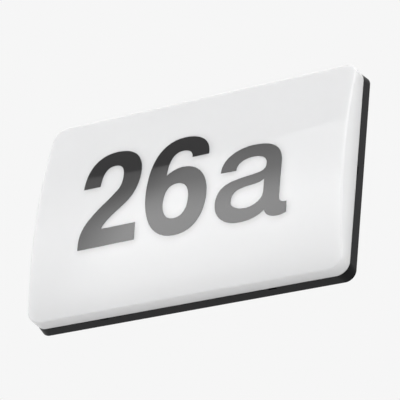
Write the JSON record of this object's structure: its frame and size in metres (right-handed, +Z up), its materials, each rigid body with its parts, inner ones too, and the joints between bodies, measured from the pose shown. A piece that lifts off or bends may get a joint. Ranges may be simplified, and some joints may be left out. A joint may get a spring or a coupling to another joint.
{
  "type": "illuminated house number sign",
  "caption": "Wall-mounted illuminated number sign: rounded rectangular black housing and a clip-on white opal cover with an arched face, lit from inside.",
  "frame": {"origin": "centre of the housing's back face, on the wall", "axes": "+X to the right along the sign as seen from the front, +Y into the wall, +Z up"},
  "size_m": [0.3, 0.034, 0.196],
  "materials": {
    "housing_plastic": "fine moulded grain, slight sheen",
    "foam": "closed-cell foam",
    "silicone": "smooth silicone",
    "grommet_rubber": "matt rubber",
    "spring_steel": "bright spring strip",
    "zinc_steel": "zinc plated",
    "opal_plastic": "glossy opal acrylic",
    "white_paint": "white reflective paint",
    "plug_plastic": "natural nylon",
    "red_insulation": "lead insulation",
    "brown_insulation": "lead insulation",
    "driver_plastic": "light grey moulding",
    "circuit_board": "solder resist",
    "ferrite": "ferrite core",
    "capacitor_sleeve": "shrink sleeve",
    "terminal_plastic": "grey moulding",
    "brass": "plain brass",
    "button_plastic": "orange moulding",
    "white_board": "white solder resist on aluminium",
    "phosphor": "yellow phosphor in a white frame"
  },
  "bodies": {
    "housing_and_fittings": {"rear_housing": "housing_plastic", "wall_seal": "foam", "cover_seal": "silicone", "cable_grommet": "grommet_rubber", "cover_spring_clips": "spring_steel", "clip_rivets": "zinc_steel", "reflector_tray": "white_paint", "reflector_screws": "zinc_steel", "board_rivets": "zinc_steel", "board_plugs": "plug_plastic", "link_leads": "red_insulation", "driver_case": "driver_plastic", "driver_lid": "driver_plastic", "driver_circuit_board": "circuit_board", "driver_transformer": "ferrite", "driver_capacitors": "capacitor_sleeve", "module_screws": "zinc_steel", "terminal_body": "terminal_plastic", "terminal_clamps": "brass", "mains_leads": "brown_insulation", "output_leads": "red_insulation", "led_board_top": "white_board", "led_chips_top": "phosphor", "led_board_upper": "white_board", "led_chips_upper": "phosphor", "led_board_lower": "white_board", "led_chips_lower": "phosphor", "led_board_bottom": "white_board", "led_chips_bottom": "phosphor"},
    "cover": {"opal_cover": "opal_plastic"},
    "live_button": {"terminal_button_live": "button_plastic"},
    "neutral_button": {"terminal_button_neutral": "button_plastic"}
  },
  "joints": [
    {"name": "cover_lift_off", "type": "slide", "parent": "housing_and_fittings", "child": "cover", "axis": [0, -1, 0], "range_m": [0, 0.045]},
    {"name": "live_button_press", "type": "slide", "parent": "housing_and_fittings", "child": "live_button", "axis": [0, 1, 0], "range_m": [0, 0.0015], "stiffness_N_per_m": 800, "springref_m": -0.002},
    {"name": "neutral_button_press", "type": "slide", "parent": "housing_and_fittings", "child": "neutral_button", "axis": [0, 1, 0], "range_m": [0, 0.0015], "stiffness_N_per_m": 800, "springref_m": -0.002}
  ]
}
